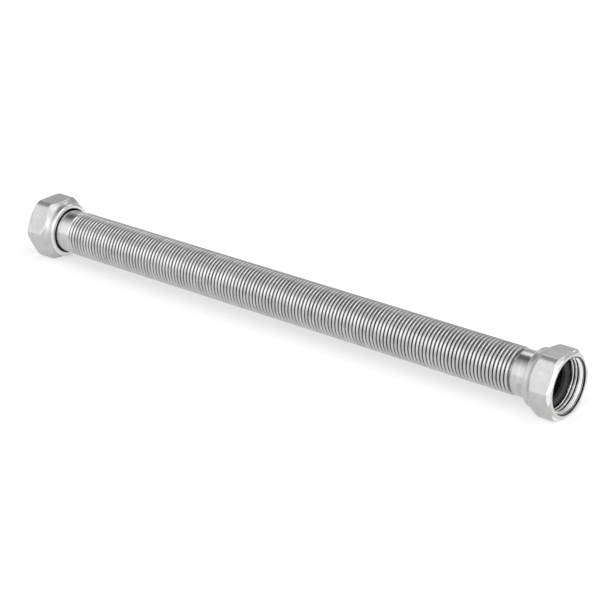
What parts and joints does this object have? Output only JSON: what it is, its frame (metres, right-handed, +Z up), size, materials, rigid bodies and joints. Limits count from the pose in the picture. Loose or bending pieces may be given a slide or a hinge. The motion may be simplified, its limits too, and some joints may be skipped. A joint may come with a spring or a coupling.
{
  "type": "flexible connector hose",
  "caption": "Extendable corrugated steel connector hose with plain cuffed ends, each carrying a loose hexagonal union nut over a flat gasket.",
  "frame": {"origin": "on the hose's axis at mid length", "axes": "+X along the hose towards its right end, +Z up with a flat of each nut on top, +Y to the back"},
  "size_m": [0.3184, 0.0332, 0.03],
  "materials": {
    "stainless_steel": "bright annealed sheet, formed, lightly satin",
    "plated_brass": "nickel plated, satin",
    "gasket_rubber": "matt black"
  },
  "bodies": {
    "hose": {"corrugated_tube": "stainless_steel", "gasket_left": "gasket_rubber", "gasket_right": "gasket_rubber"},
    "nut_left": {"union_nut_left": "plated_brass"},
    "nut_right": {"union_nut_right": "plated_brass"}
  },
  "joints": [
    {"name": "nut_left_spin", "type": "hinge", "parent": "hose", "child": "nut_left", "pos_m": [-0.1505, 0, 0], "axis": [-1, 0, 0], "continuous": true},
    {"name": "nut_right_spin", "type": "hinge", "parent": "hose", "child": "nut_right", "pos_m": [0.1505, 0, 0], "axis": [1, 0, 0], "continuous": true}
  ]
}
